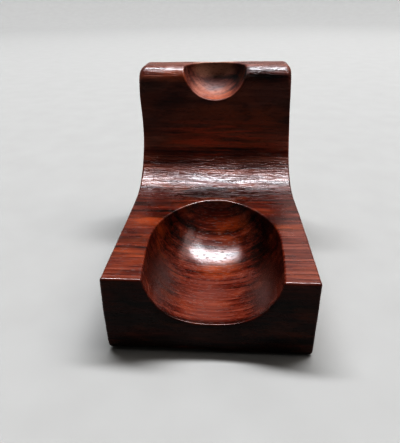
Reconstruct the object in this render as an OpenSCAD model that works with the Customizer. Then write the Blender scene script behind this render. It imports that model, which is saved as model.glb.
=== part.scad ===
// Dip pen holder: one block of polished rosewood, carved into a low front part and an upright.
// The nib end of a pen lies in the cup, and its shaft leans in the notch.
// Millimetres. +Z is up, the front faces -Y, and the origin is the middle of the underside.

/* [Block] */
// Width of the block, left to right along the grain
block_w = 51; // [46:1:60]
// Depth of the block, front to back
block_d = 80; // [76:1:90]
// Height of the upright above the table
block_h = 58; // [54:1:64]
// Height of the low front part
base_h = 21.5; // [20:0.5:24]

/* [Upright] */
// Thickness of the upright above the cove
upright_t = 14; // [13.5:0.5:17]
// Radius of the cove between the front part and the upright
cove_r = 20; // [14:1:20]
// Radius of the bull nose along the upright's top front edge
nose_r = 5; // [3:0.5:5]

/* [Cup] */
// Largest radius of the cup, which is hollowed like a spoon around a level line
cup_r = 17.6; // [15.5:0.1:18]
// Distance from the front face back to where the cup is widest and deepest
cup_inset = 20; // [18:0.5:21]
// Height of the level line above the front part's top
cup_lift = 3.9; // [2:0.1:5]
// Radius of the arc that closes the cup towards the back, seen from above
cup_back = 26.5; // [20:0.5:28]
// Radius of the arc that narrows the cup towards the front, seen from above
cup_front = 180; // [120:10:400]

/* [Notch] */
// Radius of the ball that the notch is cut with
notch_r = 10.5; // [7:0.1:10.6]
// Height of that ball's centre above the upright's top
notch_lift = 0.3; // [0.3:0.1:1.5]
// Distance from the upright's front back to the end position of the ball's centre
notch_inset = 1.8; // [0.8:0.1:2]

/* [Edges] */
// Radius of the edges that are softened by hand
edge_r = 1.2; // [0.6:0.2:1.6]
// Radius of the fine edge along the top of the front face
lip_r = 0.6; // [0.4:0.1:1]
// Radius of the upright's top corners, seen from the front
corner_r = 2.5; // [2:0.5:3.5]

/* [Hidden] */
$fn = 96;
front_y = -block_d / 2;
back_y = block_d / 2;
side_x = block_w / 2;
face_y = back_y - upright_t;      // front of the upright
cup_y = front_y + cup_inset;      // where the cup is widest
notch_y = face_y + notch_inset;   // the notch ball's centre
over = 1;                         // how far each cutter runs past the wood
ease = 0.1;                       // how much slimmer than its ball a run of the same cut is

// A bar along X, centred, from (y1, z1) to (y2, z2)
module bar_x(y1, z1, y2, z2, length) {
    translate([-length / 2, y1, z1]) cube([length, y2 - y1, z2 - z1]);
}

// What rounding takes off a long square edge: the edge runs along Z through the origin,
// and the wood lies on its -X and -Y sides
module edge_cutter(r, length) {
    difference() {
        translate([-r, -r, -length / 2]) cube([r + over, r + over, length]);
        translate([-r, -r, -length / 2 - over]) cylinder(r = r, h = length + 2 * over);
    }
}

// Rounds an edge along X at (y, z). turn is the direction of the wood's corner about X, in
// quarter turns: 0 back and up, 1 front and up, 2 front and down, 3 back and down
module round_x(y, z, turn, r) {
    translate([0, y, z]) rotate([90 * turn, 0, 0]) rotate([90, 0, 90]) edge_cutter(r, block_w + 2 * over);
}

// Rounds the two edges along Y at height z, on the left and on the right
module round_sides(z, up, r) {
    for (side = [0, 1]) mirror([side, 0, 0])
        translate([side_x, 0, z]) mirror([0, 0, up ? 0 : 1]) rotate([90, 0, 0])
            edge_cutter(r, block_d + 2 * over);
}

// Rounds the four upright corners of the block, seen from above
module round_corners(r) {
    for (side = [0, 1], end = [0, 1]) mirror([side, 0, 0]) mirror([0, end, 0])
        translate([side_x, back_y, block_h / 2]) edge_cutter(r, block_h + 2 * over);
}

// The squared block before the hollows: front part, upright and the cove between them
module sawn_block() {
    difference() {
        bar_x(front_y, 0, back_y, block_h, block_w);
        bar_x(front_y - over, base_h + cove_r, face_y, block_h + over, block_w + 2 * over);
        bar_x(front_y - over, base_h, face_y - cove_r, block_h + over, block_w + 2 * over);
        translate([-side_x - over, face_y - cove_r, base_h + cove_r])
            rotate([0, 90, 0]) cylinder(r = cove_r, h = block_w + 2 * over);
    }
}

// All the softened edges
module edges() {
    round_x(face_y, block_h, 1, nose_r);
    round_x(back_y, block_h, 0, edge_r);
    round_x(front_y, base_h, 1, lip_r);
    round_x(front_y, 0, 2, edge_r);
    round_x(back_y, 0, 3, edge_r);
    round_sides(block_h, true, corner_r);
    round_sides(0, false, edge_r);
    round_corners(edge_r);
}

// A ball with its poles to the left and right, clear of the wood
module ball(r) {
    rotate([0, 90, 0]) sphere(r = r);
}

// Half of a turned hollow, seen from above: widest at its start, and narrowing along an arc
module half_hollow(arc_r, length) {
    rotate_extrude() intersection() {
        translate([cup_r - arc_r, 0]) circle(r = arc_r);
        square([cup_r + over, length]);
    }
}

// The cup: a turned hollow that closes at the back and runs out through the front face
module cup() {
    translate([0, cup_y, base_h + cup_lift]) {
        rotate([-90, 0, 0]) half_hollow(cup_back, cup_back);
        rotate([90, 0, 0]) half_hollow(cup_front, cup_inset + over);
    }
}

// The notch: a ball-ended cut into the upright's top from the front
module notch() {
    translate([0, notch_y, block_h + notch_lift]) {
        ball(notch_r);
        rotate([90, 0, 0]) cylinder(r = notch_r - ease, h = notch_inset + nose_r + over);
    }
}

// The block with its edges softened
module softened_block() {
    difference() {
        sawn_block();
        edges();
    }
}

// The block once the cup is cut
module cupped_block() {
    difference() {
        softened_block();
        cup();
    }
}

// The holder, one piece of wood: the notch is the last cut
module holder_block() {
    color([0.24, 0.09, 0.06]) difference() {
        cupped_block();
        notch();
    }
}

holder_block();
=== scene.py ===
import math

import bmesh
import bpy
import numpy as np
from mathutils import Matrix, Vector


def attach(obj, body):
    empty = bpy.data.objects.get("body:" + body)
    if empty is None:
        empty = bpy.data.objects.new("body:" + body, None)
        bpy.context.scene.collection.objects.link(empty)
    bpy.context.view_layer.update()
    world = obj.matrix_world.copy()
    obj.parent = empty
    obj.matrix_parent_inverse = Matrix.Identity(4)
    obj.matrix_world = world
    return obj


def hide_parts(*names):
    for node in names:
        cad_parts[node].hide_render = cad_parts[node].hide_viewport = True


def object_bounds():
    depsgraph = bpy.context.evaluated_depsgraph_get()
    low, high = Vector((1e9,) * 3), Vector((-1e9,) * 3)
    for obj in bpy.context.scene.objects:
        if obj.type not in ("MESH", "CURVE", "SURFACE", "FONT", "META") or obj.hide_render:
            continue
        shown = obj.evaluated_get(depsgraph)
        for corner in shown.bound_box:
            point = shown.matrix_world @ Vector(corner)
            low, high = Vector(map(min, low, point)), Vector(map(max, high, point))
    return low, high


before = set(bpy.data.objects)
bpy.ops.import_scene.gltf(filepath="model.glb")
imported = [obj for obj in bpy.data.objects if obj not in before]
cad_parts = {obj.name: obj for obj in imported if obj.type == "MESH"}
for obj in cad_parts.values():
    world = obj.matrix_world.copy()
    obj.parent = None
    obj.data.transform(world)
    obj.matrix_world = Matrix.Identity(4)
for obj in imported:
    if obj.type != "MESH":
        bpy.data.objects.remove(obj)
cad_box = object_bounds()

MM = 0.001
scene = bpy.context.scene

# ---------------------------------------------------------------- the holder's shape, in millimetres
BOX_LO, BOX_HI = (np.array(v) / MM for v in cad_box)
FRONT, BACK = BOX_LO[1], BOX_HI[1]
TOP = BOX_HI[2]
SIDE = BOX_HI[0] - 0.45     # half the width, with room for the lean and the full left side
BASE_TOP = 21.5
FACE = BACK - 14.0          # the upright's front
COVE_R = 20.0
NOSE_R = 5.0
SKIN = 0.07                 # room under the CAD model's surface for the uneven finish

# how far right of the middle the front part lies, and how much further left than that
# the back lies, and the upright's top on top of it
SHIFT, BACK_LEAN, TOP_LEAN = 0.4, 0.35, 0.52

# the cup: its largest radius, its level line above the base, and the arcs that close it
CUP_R, CUP_LIFT, CUP_BACK, CUP_FRONT = 17.35, 4.45, 27.5, 176.0
CUP_FULL = 2.42             # 2 is a round section, more is a fuller one
CUP_SQUASH = 0.96
CUP_X, CUP_Y = 0.6, FRONT + 20.0

# the notch: part of a ball that is a little longer front to back than it is wide
NOTCH_R, NOTCH_DROP, NOTCH_X = 10.1, 0.35, 0.15
NOTCH_Y = FACE + 1.8
NOTCH_REACH = 1.08

# radii of the softened edges; the second value of a pair is what the left side adds
FRONT_LIP_R, BACK_EDGE_R, CUP_RIM_R, NOTCH_RIM_R = 0.75, 1.4, 0.5, 0.6
SIDE_EDGE_R = 0.7
TOP_CORNER_R = (1.4, 0.6)   # on top of the side edge's radius
FOOT_R = (1.3, 0.9)
LEFT_FULL = 0.25            # how far the left side swells at the front

# the mesh
VOXEL = 0.7
EVEN_ROUNDS, REFINE_EVEN_ROUNDS, SLIDE = 6, 2, 0.6
REFINE = ((0.22, 0.16), (0.22, 0.16), (0.26, 0.14))     # bend in radians, shortest edge in mm


def meet(a, b, r):
    """The solid inside both surfaces, with their shared edge rounded to radius r."""
    return np.minimum(np.maximum(a, b), -r) + np.hypot(np.maximum(a + r, 0), np.maximum(b + r, 0))


def step(t, start, end):
    """0 before start, 1 after end, smooth between."""
    s = np.clip((t - start) / (end - start), 0, 1)
    return s * s * (3 - 2 * s)


def hand_finish(x, y, z):
    """Slow unevenness left by carving and sanding, in mm."""
    return (0.022 * np.sin(0.33 * x + 0.9 * np.sin(0.21 * y) + 0.5)
            + 0.018 * np.sin(0.47 * y + 0.8 * np.sin(0.27 * x + 1.0) + 0.31 * z)
            + 0.016 * np.sin(0.71 * z - 0.52 * x + 2.1)
            + 0.010 * np.sin(1.13 * x + 0.9 * y - 0.4))


def surface(p):
    """Roughly how far each point lies outside the wood, in mm; negative inside it."""
    x, y, z = p[:, 0], p[:, 1], p[:, 2]
    x = x - SHIFT + BACK_LEAN * step(y, -10, 20) + TOP_LEAN * step(z, 34, 52)
    low, left, fore = 1 - step(z, 18, 26), 1 - step(x, -3, 3), 1 - step(y, -22, 0)
    air = meet(y - FACE, BASE_TOP - z, COVE_R)
    f = meet(-air, z - TOP, NOSE_R)
    f = meet(f, FRONT - y, FRONT_LIP_R)
    f = meet(f, y - BACK, BACK_EDGE_R)
    # the sides: softest at the upright's top corners, a little full at the front
    full = LEFT_FULL * low * left * fore * (1 - ((z - 10) / 12) ** 2)
    soft = SIDE_EDGE_R + (TOP_CORNER_R[0] + TOP_CORNER_R[1] * left) * step(z, TOP - 10, TOP - 1)
    f = meet(f, np.abs(x) - SIDE - full, soft)
    f = meet(f, -z, FOOT_R[0] + FOOT_R[1] * left * fore)
    # the cup: spoon-shaped, and a little fuller across than a round one
    across, over = np.abs(x - CUP_X), CUP_SQUASH * np.abs(z - BASE_TOP - CUP_LIFT)
    around = (across ** CUP_FULL + over ** CUP_FULL) ** (1 / CUP_FULL)
    along = y - CUP_Y
    cup = np.where(along > 0, np.hypot(around + CUP_BACK - CUP_R, along) - CUP_BACK,
                   np.hypot(around + CUP_FRONT - CUP_R, along) - CUP_FRONT)
    f = meet(f, -cup, CUP_RIM_R)
    # the notch: deepest at the front, it runs out at the top's back edge
    back = np.maximum(y - NOTCH_Y, 0) / NOTCH_REACH
    notch = np.sqrt((x - NOTCH_X) ** 2 + back * back + (z - TOP + NOTCH_DROP) ** 2) - NOTCH_R
    f = meet(f, -notch, NOTCH_RIM_R)
    return f + SKIN + hand_finish(x, y, z)


def gradient(p, h=0.01):
    g = np.empty_like(p)
    for i in range(3):
        d = np.zeros(3)
        d[i] = h
        g[:, i] = (surface(p + d) - surface(p - d)) / (2 * h)
    return g


def settle(p, rounds=5):
    """Moves points onto the surface."""
    for _ in range(rounds):
        g = gradient(p)
        move = surface(p) / np.maximum((g * g).sum(1), 0.05)
        p = p - g * np.clip(move, -0.5, 0.5)[:, None]
    return p


def unit(v):
    return v / np.maximum(np.linalg.norm(v, axis=1), 1e-9)[:, None]


def points_of(mesh):
    co = np.empty(len(mesh.vertices) * 3)
    mesh.vertices.foreach_get("co", co)
    return co.reshape(-1, 3) / MM


def put_points(mesh, p):
    mesh.vertices.foreach_set("co", (p * MM).ravel())
    mesh.update()


def even_out(mesh, p, rounds):
    """Slides points along the surface towards the middle of their neighbours."""
    ends = np.empty(len(mesh.edges) * 2, np.int64)
    mesh.edges.foreach_get("vertices", ends)
    a, b = ends.reshape(-1, 2).T
    count = np.bincount(np.r_[a, b], minlength=len(p))[:, None]
    for _ in range(rounds):
        total = np.zeros_like(p)
        for i in range(3):
            total[:, i] = np.bincount(a, p[b, i], len(p)) + np.bincount(b, p[a, i], len(p))
        pull = total / count - p
        n = unit(gradient(p))
        p = settle(p + SLIDE * (pull - n * (pull * n).sum(1)[:, None]), 2)
    return p


def refine(mesh, p, bend, shortest):
    """Splits the edges over which the surface turns by more than bend radians."""
    n = unit(gradient(p))
    bm = bmesh.new()
    bm.from_mesh(mesh)
    bm.verts.ensure_lookup_table()
    marked = []
    for e in bm.edges:
        i, j = e.verts[0].index, e.verts[1].index
        if n[i] @ n[j] < math.cos(bend) and np.linalg.norm(p[i] - p[j]) > shortest:
            marked.append(e)
    bmesh.ops.subdivide_edges(bm, edges=marked, cuts=1, use_grid_fill=True)
    bmesh.ops.triangulate(bm, faces=bm.faces[:])
    bm.to_mesh(mesh)
    bm.free()
    mesh.update()


def carve_holder(cad_node):
    """A fine mesh of the holder, made from the CAD node's mesh and settled on the surface."""
    start = bpy.data.objects.new("start", cad_node.data.copy())
    scene.collection.objects.link(start)
    remesh = start.modifiers.new("remesh", "REMESH")
    remesh.mode = "VOXEL"
    remesh.voxel_size = VOXEL * MM
    depsgraph = bpy.context.evaluated_depsgraph_get()
    mesh = bpy.data.meshes.new_from_object(start.evaluated_get(depsgraph))
    bpy.data.objects.remove(start)
    p = even_out(mesh, settle(points_of(mesh)), EVEN_ROUNDS)
    put_points(mesh, p)
    for bend, shortest in REFINE:
        refine(mesh, p, bend, shortest)
        p = even_out(mesh, settle(points_of(mesh)), REFINE_EVEN_ROUNDS)
        put_points(mesh, p)
    mesh.materials.clear()
    mesh.shade_smooth()
    mesh.normals_split_custom_set_from_vertices(unit(gradient(p)).tolist())
    mesh.name = "holder_wood"
    holder = bpy.data.objects.new("holder_wood", mesh)
    scene.collection.objects.link(holder)
    return holder


# ---------------------------------------------------------------- materials
class Nodes:
    """A short way to write a node tree: inputs are numbers, colours, or other nodes' outputs."""

    def __init__(self, tree):
        self.tree = tree
        tree.nodes.clear()

    def add(self, kind, out=0, options=None, **inputs):
        """A new node's output; i0, i1 and so on name an input by its number."""
        n = self.tree.nodes.new(kind)
        for k, v in (options or {}).items():
            setattr(n, k, v)
        for k, v in inputs.items():
            key = int(k[1:]) if k[0] == "i" and k[1:].isdigit() else k.replace("_", " ")
            self.feed(n.inputs[key], v)
        return n.outputs[out]

    def feed(self, socket, v):
        if isinstance(v, bpy.types.NodeSocket):
            self.tree.links.new(v, socket)
        else:
            socket.default_value = v

    def math(self, op, a, b=0.0, c=0.0, clamp=False):
        return self.add("ShaderNodeMath", options={"operation": op, "use_clamp": clamp}, i0=a, i1=b, i2=c)

    def ramp01(self, v, low, high):
        """0 below low, 1 above high, smooth between; low may be above high."""
        n = self.tree.nodes.new("ShaderNodeMapRange")
        n.interpolation_type = "SMOOTHSTEP"
        self.feed(n.inputs["Value"], v)
        if low < high:
            ends = (low, high, 0.0, 1.0)
        else:
            ends = (high, low, 1.0, 0.0)
        for name, e in zip(("From Min", "From Max", "To Min", "To Max"), ends):
            n.inputs[name].default_value = e
        return n.outputs[0]

    def noise(self, vector, detail=2.0, rough=0.5, **more):
        return self.add("ShaderNodeTexNoise", Vector=vector, Scale=1.0, Detail=detail,
                        Roughness=rough, **more)

    def noise1(self, w, detail=1.0, rough=0.5):
        return self.add("ShaderNodeTexNoise", options={"noise_dimensions": "1D"}, W=w, Scale=1.0,
                        Detail=detail, Roughness=rough)

    def scaled(self, vector, sx, sy, sz, shift=0.0):
        return self.add("ShaderNodeVectorMath", options={"operation": "MULTIPLY_ADD"},
                        i0=vector, i1=(sx, sy, sz), i2=(shift, shift, shift))

    def plus(self, start, *terms):
        """start, with each pair of a value and its gain multiplied and added."""
        for value, gain in terms:
            start = self.math("MULTIPLY_ADD", value, gain, start)
        return start

    def swing(self, noise):
        """Noise around zero."""
        return self.math("SUBTRACT", noise, .5)

    def mix(self, fac, a, b):
        n = self.tree.nodes.new("ShaderNodeMix")
        n.data_type = "RGBA"
        self.feed(n.inputs[0], fac)
        self.feed(n.inputs[6], a)
        self.feed(n.inputs[7], b)
        return n.outputs[2]

    def tint(self, wood, mask, strength, colour):
        """wood, turned towards a colour by strength where mask is 1."""
        return self.mix(self.math("MULTIPLY", mask, strength), wood, (*colour, 1))

    def off_centre(self, where, centre, radii):
        """0 at the middle of an egg-shaped place, 1 on its outline."""
        away = self.add("ShaderNodeVectorMath", options={"operation": "SUBTRACT"}, i0=where, i1=centre)
        away = self.scaled(away, *(1 / r for r in radii))
        return self.add("ShaderNodeVectorMath", out=1, options={"operation": "LENGTH"}, i0=away)

    def colours(self, fac, stops):
        n = self.tree.nodes.new("ShaderNodeValToRGB")
        r = n.color_ramp
        while len(r.elements) < len(stops):
            r.elements.new(0.5)
        for e, (pos, c) in zip(r.elements, stops):
            e.position = pos
            e.color = (*c, 1)
        self.feed(n.inputs[0], fac)
        return n.outputs[0]


# Noise in the wood: repeats per mm along the grain and across it, offset, detail, roughness
NOISE = {
    "bend": (.012, .03, 4.0, 2.0, .5),      # the growth sheets' slow bend
    "wander": (.05, .22, 9.0, 3.0, .5),     # and their smaller waves
    "fibre": (.13, 1.5, 0.0, 2.0, .6),      # fine fibres
    "streak": (.045, .50, 3.0, 2.0, .55),   # and broader streaks
    "drift": (.07, .30, 5.0, 2.0, .5),      # what loosens the outlines of the patches
    "flame": (.07, .20, 2.0, 3.0, .6),      # the orange figure
    "embers": (.06, .95, 11.0, 2.0, .6),    # red streaks
    "breaks": (.035, .1, 7.0, 1.0, .5),     # where the black lines stop
    "silk": (.38, 4.2, 0.0, 3.0, .6),       # fine relief
    "rub": (.12, .3, 0.0, 2.0, .5),         # how well each place was rubbed
    "grit": (.30, 1.7, 6.0, 3.0, .65),      # relief where the polish is thin
    "furrow": (.14, 2.3, 8.0, 2.0, .6),     # open grain there
}
PORES = (.42, 2.5)                          # repeats per mm along and across
PORE_BLACK = (.008, .003, .002)

# The growth sheets are shells about a line along X, far behind the holder
PITH_Y, PITH_Z = 160.0, 43.0

# How dark the wood is, from the front sheets to the back ones
ZONES = ((.00, .13), (.030, .18), (.045, .42), (.28, .43), (.36, .41), (.44, .32), (.51, .22),
         (.60, .22), (.68, .40), (.745, .54), (.775, .62), (.80, .52), (.84, .50), (1.0, .42))
# The colour of each tone, from dark to light
BROWNS = ((.00, (.006, .002, .0012)), (.18, (.022, .0040, .0018)), (.36, (.044, .0075, .0034)),
          (.52, (.072, .0185, .0105)), (.70, (.104, .036, .024)), (.95, (.17, .068, .045)))

# Lighter and darker patches, some of them painted light and painted shade: centre x, y, z and radii x, y,
# z in mm, then the change of tone
TONE_PATCHES = (
    ((16.5, -12, 14, 10, 15, 13), -.34),        # the cup's right wall, at the back: darker wood and painted shade
    ((17, -30, 13, 10, 16, 12), -.20),          # and at the front: painted shade
    ((-14, -8, 16, 9, 10, 10), -.20),           # its left wall, at the back: painted shade
    ((-16, -26, 13, 10, 16, 12), -.20),         # and at the front: painted shade
    ((-22, -20, 21, 9, 5, 5), -.20),            # dark band on the left flange
    ((22, -8, 22, 9, 5, 5), -.12),              # and on the right one
    ((2, 8, 22, 24, 7, 6), -.18),               # behind the cup
    ((-6, 31, 50, 6, 8, 5), .42),               # lower left of the notch: painted light on its lit left wall
    ((-17, 26, 49, 15, 6, 8), -.16),            # the upright, top left
    ((-15, 27, 55.0, 15, 5, 2.2), .20),         # light stripe along the nose
    ((15, 27, 54.6, 14, 5, 2.2), -.60),         # dark streak below the nose
    ((15, 28, 56.8, 13, 5, 1.8), -.25),         # darker wood on the nose's right half
    ((2, 25, 34.5, 28, 6, 4.5), .16),           # reddish foot of the upright, lighter towards the bottom: partly painted bounce light from the cove
    ((-11, 25, 36.9, 12, 6, .9), -.36),         # dark streaks across that foot
    ((9, 22, 31.4, 15, 6, .9), -.36),
    ((4, 36, 53.2, 9, 7, 1.2), -.40),           # dark band in the notch
    ((9, 33, 54, 6, 8, 6), -.35),               # the notch's right wall: painted shade
)
LOOP_AT, LOOP_RADII = (4.0, 25, 42.5), (7.0, 8.0, 4.4)      # a loop of dark grain on the upright

# Where the orange figure is strongest: as above, then its strength
ORANGE = (.17, .040, .009)
ORANGE_PATCHES = (
    ((5, -3, 14, 11, 7, 7), .7),                # the cup's back
    ((2, -16, 8.5, 9, 5, 4), .8),               # its floor
    ((1.5, 30, 48.5, 5.5, 8, 3.5), 1.3),        # the notch's lip
    ((-19, -11, 21, 10, 6, 6), .6),             # the left flange
    ((-21, -28.5, 21, 9, 3.5, 5), .6),
    ((21, -14, 21, 9, 3, 5), .5),               # the right flange
    ((0, 26, 34, 28, 5, 4.5), 1.5),             # the upright's foot: orange wood with painted bounce light from the cove
    ((6, 26, 42, 26, 6, 10), 1.0),              # and its middle
    ((-15, 27, 55, 15, 5, 2.2), .9),            # the nose's left half
)

# Other tints, and where they lie: red streaks on the upright's foot, painted shade with a painted greyish
# sheen on the cup's side walls towards the front, a pinker stretch between those with painted light where
# the floor faces up, and painted light on the notch's back wall
RED, RED_FOOT = (.27, .048, .018), (1, 25, 35, 30, 7, 9)
WALL_SHADE_SHEEN, WALL_SHADE_LEFT, WALL_SHADE_RIGHT = (.038, .019, .016), (-14, -28, 11, 9, 16, 9), (14.5, -29, 11, 8, 15, 9)
LIT_PINK, LIT_FLOOR = (.105, .044, .035), (-1, -30, 8, 9, 14, 8)
NOTCH_LIGHT, NOTCH_LIGHT_PLACE = (.25, .135, .09), (-1, 38, 56.0, 11.5, 5.5, 3.9)

# Where the finish differs: centre and radii in mm
DRY_COVE = ((0, 13, 27), (60, 13, 13))
THIN_NOSE = ((0, 28, 57), (40, 6, 4))
CUP_INSIDE = ((CUP_X, CUP_Y, 14), (19, 27, 9.5))
NOTCH_BALL = ((NOTCH_X, NOTCH_Y, TOP - NOTCH_DROP), (NOTCH_R, NOTCH_R * NOTCH_REACH, NOTCH_R))
POLISH_IOR = 1.39


def figure(g, mm, name, out=0):
    """One of the noises above."""
    along, across, offset, detail, rough = NOISE[name]
    return g.noise(g.scaled(mm, along, across, across, offset), detail, rough, out=out)


def growth(g, mm):
    """Depth through the growth sheets in mm, and 0 to 1 from the front sheets to the back ones."""
    y, z = (g.add("ShaderNodeSeparateXYZ", out=i, i0=mm) for i in (1, 2))
    bend = g.math("MULTIPLY_ADD", figure(g, mm, "bend"), 6.0, -3.0)
    wander = g.math("MULTIPLY_ADD", figure(g, mm, "wander"), 1.6, -.8)
    dy = g.math("SUBTRACT", PITH_Y, y)
    dz = g.math("SUBTRACT", z, PITH_Z)
    far = g.math("SQRT", g.math("ADD", g.math("MULTIPLY", dy, dy), g.math("MULTIPLY", dz, dz)))
    sheet = g.math("SUBTRACT", PITH_Y, far)
    depth = g.math("ADD", g.math("ADD", sheet, bend), wander)
    return depth, g.math("MULTIPLY_ADD", sheet, 1 / 90, .5)


def wood_colour(g, mm, pore):
    """A tone from the growth sheets and the patches, turned into browns and then tinted; some patches and
    tints are painted light and painted shade.
    """
    depth, zone = growth(g, mm)
    fine = g.noise1(g.math("MULTIPLY", depth, 1.8), 1.0)
    mid = g.noise1(g.math("MULTIPLY_ADD", depth, 0.42, 17.0), 2.0)
    tone = g.plus(g.colours(zone, [(at, (grey,) * 3) for at, grey in ZONES]),
                  (g.swing(fine), .40), (g.swing(mid), .50),
                  (g.swing(figure(g, mm, "fibre")), .54), (g.swing(figure(g, mm, "streak")), .70))

    # patches lie on slightly pushed coordinates, so that none has a drawn outline
    push = (8.0, 2.4, 2.4)
    loose = g.add("ShaderNodeVectorMath", options={"operation": "MULTIPLY_ADD"},
                  i0=figure(g, mm, "drift", out=1), i1=push, i2=mm)

    def pushed(centre):
        return [c + p / 2 for c, p in zip(centre, push)]

    def patch(cx, cy, cz, rx, ry, rz):
        """1 at the middle of an egg-shaped patch of the wood, 0 outside it."""
        return g.ramp01(g.off_centre(loose, pushed((cx, cy, cz)), (rx, ry, rz)), 1.0, .2)

    # the tone patches, some of which are painted light and painted shade
    tone = g.plus(tone, *((patch(*place), change) for place, change in TONE_PATCHES))
    loop = g.off_centre(loose, pushed(LOOP_AT), LOOP_RADII)
    loop = g.ramp01(g.math("ABSOLUTE", g.math("SUBTRACT", loop, 1.0)), .22, .04)
    right_half = g.ramp01(g.add("ShaderNodeSeparateXYZ", i0=mm), 0.0, 7.0)
    tone = g.plus(tone, (g.math("MULTIPLY", loop, right_half), -.24))
    wood = g.colours(tone, BROWNS)

    flame = figure(g, mm, "flame")
    hot = g.math("MULTIPLY", g.ramp01(flame, .50, .66), .30)
    licks = g.ramp01(flame, .30, .54)
    for place, strength in ORANGE_PATCHES:
        hot = g.math("MULTIPLY_ADD", g.math("MULTIPLY", patch(*place), strength), licks, hot, clamp=True)
    wood = g.tint(wood, hot, .7, ORANGE)
    embers = g.ramp01(figure(g, mm, "embers"), .40, .60)
    wood = g.tint(wood, g.math("MULTIPLY", embers, patch(*RED_FOOT)), .75, RED)
    # painted shade and a painted greyish sheen on the cup's steep side walls
    wood = g.tint(wood, g.math("MAXIMUM", patch(*WALL_SHADE_LEFT), patch(*WALL_SHADE_RIGHT)), .75, WALL_SHADE_SHEEN)
    # painted light on the cup's floor where it faces up, over pinker wood
    wood = g.tint(wood, patch(*LIT_FLOOR), .45, LIT_PINK)
    # painted light on the notch's back wall
    wood = g.tint(wood, patch(*NOTCH_LIGHT_PLACE), .85, NOTCH_LIGHT)

    # black growth lines, and the dark of the pores
    line = g.noise1(g.math("MULTIPLY_ADD", depth, 0.62, 53.0), 1.0)
    broken = g.ramp01(figure(g, mm, "breaks"), .44, .58)
    wood = g.tint(wood, g.math("MULTIPLY", g.ramp01(line, .60, .68), broken), .4, PORE_BLACK)
    return g.tint(wood, pore, .5, PORE_BLACK)


def open_pores(g, mm):
    """Long thin tubes along the grain: 1 inside one, 0 between them."""
    along, across = PORES
    cell = g.tree.nodes.new("ShaderNodeTexVoronoi")
    cell.feature = "F1"
    cell.inputs["Scale"].default_value = 1.0
    cell.inputs["Randomness"].default_value = 1.0
    g.feed(cell.inputs["Vector"], g.scaled(mm, along, across, across))
    return g.ramp01(cell.outputs["Distance"], .32, .14)


def rosewood():
    """Glossy where it was rubbed, and drier in the cove, along the nose and in the notch."""
    mat = bpy.data.materials.new("rosewood")
    mat.use_nodes = True
    g = Nodes(mat.node_tree)
    here = g.add("ShaderNodeTexCoord", out=3)
    mm = g.add("ShaderNodeVectorMath", options={"operation": "SCALE"}, i0=here, Scale=1 / MM)
    pore = open_pores(g, mm)
    dry = g.ramp01(g.off_centre(mm, *DRY_COVE), 1.0, .7)
    nose = g.ramp01(g.off_centre(mm, *THIN_NOSE), 1.0, .5)
    cut = g.ramp01(g.off_centre(mm, *NOTCH_BALL), 1.09, 1.03)
    bowl = g.ramp01(g.off_centre(mm, *CUP_INSIDE), 1.1, .9)
    worn = g.math("MAXIMUM", dry, nose)
    furrow = g.math("MULTIPLY", g.ramp01(figure(g, mm, "furrow"), .50, .36), worn)
    rough = g.plus(.275, (g.swing(figure(g, mm, "rub")), .12), (dry, -.06), (bowl, -.045),
                   (cut, .30), (pore, .40), (furrow, .32))
    # relief in mm
    grit_depth = g.math("MULTIPLY_ADD", worn, .11, .014)
    height = g.plus(0.0, (figure(g, mm, "silk"), .014), (figure(g, mm, "grit"), grit_depth),
                    (furrow, -.035), (pore, -.012))
    shader = g.tree.nodes.new("ShaderNodeBsdfPrincipled")
    g.feed(shader.inputs["Base Color"], wood_colour(g, mm, pore))
    g.feed(shader.inputs["Roughness"], rough)
    g.feed(shader.inputs["Normal"], g.add("ShaderNodeBump", Strength=1.0, Distance=MM, Height=height))
    g.feed(shader.inputs["IOR"], POLISH_IOR)
    g.feed(shader.inputs["Specular IOR Level"], g.math("MULTIPLY_ADD", bowl, -.12, .5))
    out = g.tree.nodes.new("ShaderNodeOutputMaterial")
    g.tree.links.new(shader.outputs[0], out.inputs["Surface"])
    return mat


def pale_paper():
    mat = bpy.data.materials.new("pale_floor")
    mat.use_nodes = True
    g = Nodes(mat.node_tree)
    here = g.add("ShaderNodeTexCoord", out=3)
    mottle = g.noise(g.scaled(here, 60, 60, 60), 2.0)
    shade = g.colours(mottle, [(.3, (.157, .151, .143)), (.7, (.163, .157, .149))])
    shader = g.tree.nodes.new("ShaderNodeBsdfPrincipled")
    g.feed(shader.inputs["Base Color"], shade)
    shader.inputs["Roughness"].default_value = 0.9
    shader.inputs["Specular IOR Level"].default_value = 0.1
    out = g.tree.nodes.new("ShaderNodeOutputMaterial")
    g.tree.links.new(shader.outputs[0], out.inputs["Surface"])
    return mat


# ---------------------------------------------------------------- the object
holder = carve_holder(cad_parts["holder_block"])
holder.data.materials.append(rosewood())
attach(holder, "root")
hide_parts("holder_block")


# ---------------------------------------------------------------- floor, sky and lights
def lathe_floor():
    """A round floor that curves up into a wall, in metres."""
    flat, curve, wall, turns, curve_steps = 1.3, 0.7, 1.7, 96, 12
    profile = [(0.0, 0.0), (0.3, 0.0), (flat, 0.0)]
    for i in range(1, curve_steps + 1):
        a = math.radians(90 * i / curve_steps)
        profile.append((flat + curve * math.sin(a), curve * (1 - math.cos(a))))
    profile.append((flat + curve, wall))
    bm = bmesh.new()
    centre = bm.verts.new((0, 0, 0))
    rings = []
    for r, h in profile[1:]:
        rings.append([bm.verts.new((r * math.cos(t), r * math.sin(t), h))
                      for t in (2 * math.pi * k / turns for k in range(turns))])
    for k in range(turns):
        j = (k + 1) % turns
        bm.faces.new((centre, rings[0][k], rings[0][j]))
        for inner, outer in zip(rings, rings[1:]):
            bm.faces.new((inner[k], outer[k], outer[j], inner[j]))
    mesh = bpy.data.meshes.new("floor")
    bm.to_mesh(mesh)
    bm.free()
    mesh.shade_smooth()
    floor = bpy.data.objects.new("floor", mesh)
    scene.collection.objects.link(floor)
    floor.data.materials.append(pale_paper())


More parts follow.
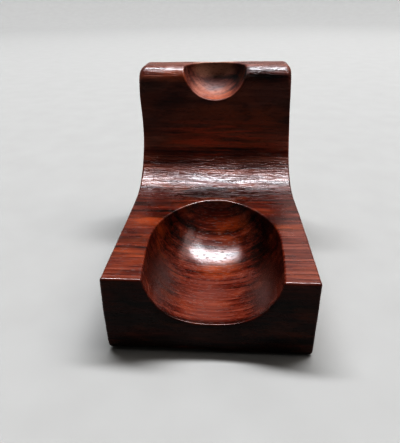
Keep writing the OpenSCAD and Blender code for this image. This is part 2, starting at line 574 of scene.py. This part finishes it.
AIM = Vector((0, 0, 0.02))      # the lights point at the middle of the holder


def softbox(name, direction, distance, width, depth, radiance, colour=(1, 1, 1)):
    """An oval light whose face has the given radiance. Sizes are in metres."""
    data = bpy.data.lights.new(name, "AREA")
    data.shape = "ELLIPSE"
    data.size, data.size_y = width, depth
    data.energy = radiance * math.pi * (math.pi / 4 * width * depth)
    data.color = colour
    light = bpy.data.objects.new(name, data)
    at = AIM + Vector(direction).normalized() * distance
    light.location = at
    light.rotation_euler = (AIM - at).to_track_quat("-Z", "Y").to_euler()
    light.visible_camera = False
    scene.collection.objects.link(light)


def pale_sky():
    """Even grey light, stronger from straight above."""
    world = bpy.data.worlds.new("sky")
    scene.world = world
    world.use_nodes = True
    g = Nodes(world.node_tree)
    look = g.add("ShaderNodeTexCoord", out=0)
    up = g.add("ShaderNodeSeparateXYZ", out=2, i0=look)
    sky = g.colours(up, [(at, (grey,) * 3) for at, grey in ((0.0, .09), (0.6, .09), (1.0, .2))])
    back = g.tree.nodes.new("ShaderNodeBackground")
    g.feed(back.inputs["Color"], sky)
    back.inputs["Strength"].default_value = 1.0
    out = g.tree.nodes.new("ShaderNodeOutputWorld")
    g.tree.links.new(back.outputs[0], out.inputs["Surface"])


lathe_floor()
# name, direction from the holder, distance, width, depth, radiance, colour
softbox("strip", (0.02, 0.27, 0.963), 3.0, 3.5, 0.46, 61.0, (0.94, 0.99, 1.05))
softbox("overhead", (0.32, 0.04, 0.95), 3.2, 1.5, 0.9, 5.0)
softbox("side_box", (0.69, 0.10, 0.72), 3.4, 2.2, 1.9, 4.8)
softbox("back_card", (0.30, 0.80, 0.55), 1.2, 0.7, 0.4, 1.0)
pale_sky()

scene.view_settings.view_transform = "Standard"
scene.view_settings.look = "Very High Contrast"
scene.view_settings.exposure = 0.0

# ---------------------------------------------------------------- camera, at the photo's angle
FORWARD = Vector((-0.05912, 0.88335, -0.46496)).normalized()
ROLL = math.radians(-0.926)
CAMERA_AT = Vector((3.693, -116.996, 77.146))
LENS = 38.065
level = FORWARD.cross(Vector((0, 0, 1))).normalized()
upward = level.cross(FORWARD)
right = math.cos(ROLL) * level + math.sin(ROLL) * upward
upward = right.cross(FORWARD)
camera_data = bpy.data.cameras.new("camera")
camera_data.sensor_width = 36.0
camera_data.sensor_fit = "HORIZONTAL"
camera_data.lens = LENS
camera_data.clip_start = 0.005
camera_data.clip_end = 20.0
camera = bpy.data.objects.new("camera", camera_data)
scene.collection.objects.link(camera)
turn = Matrix((right, upward, -FORWARD)).transposed()
camera.matrix_world = Matrix.Translation(CAMERA_AT * MM) @ turn.to_4x4()
scene.camera = camera
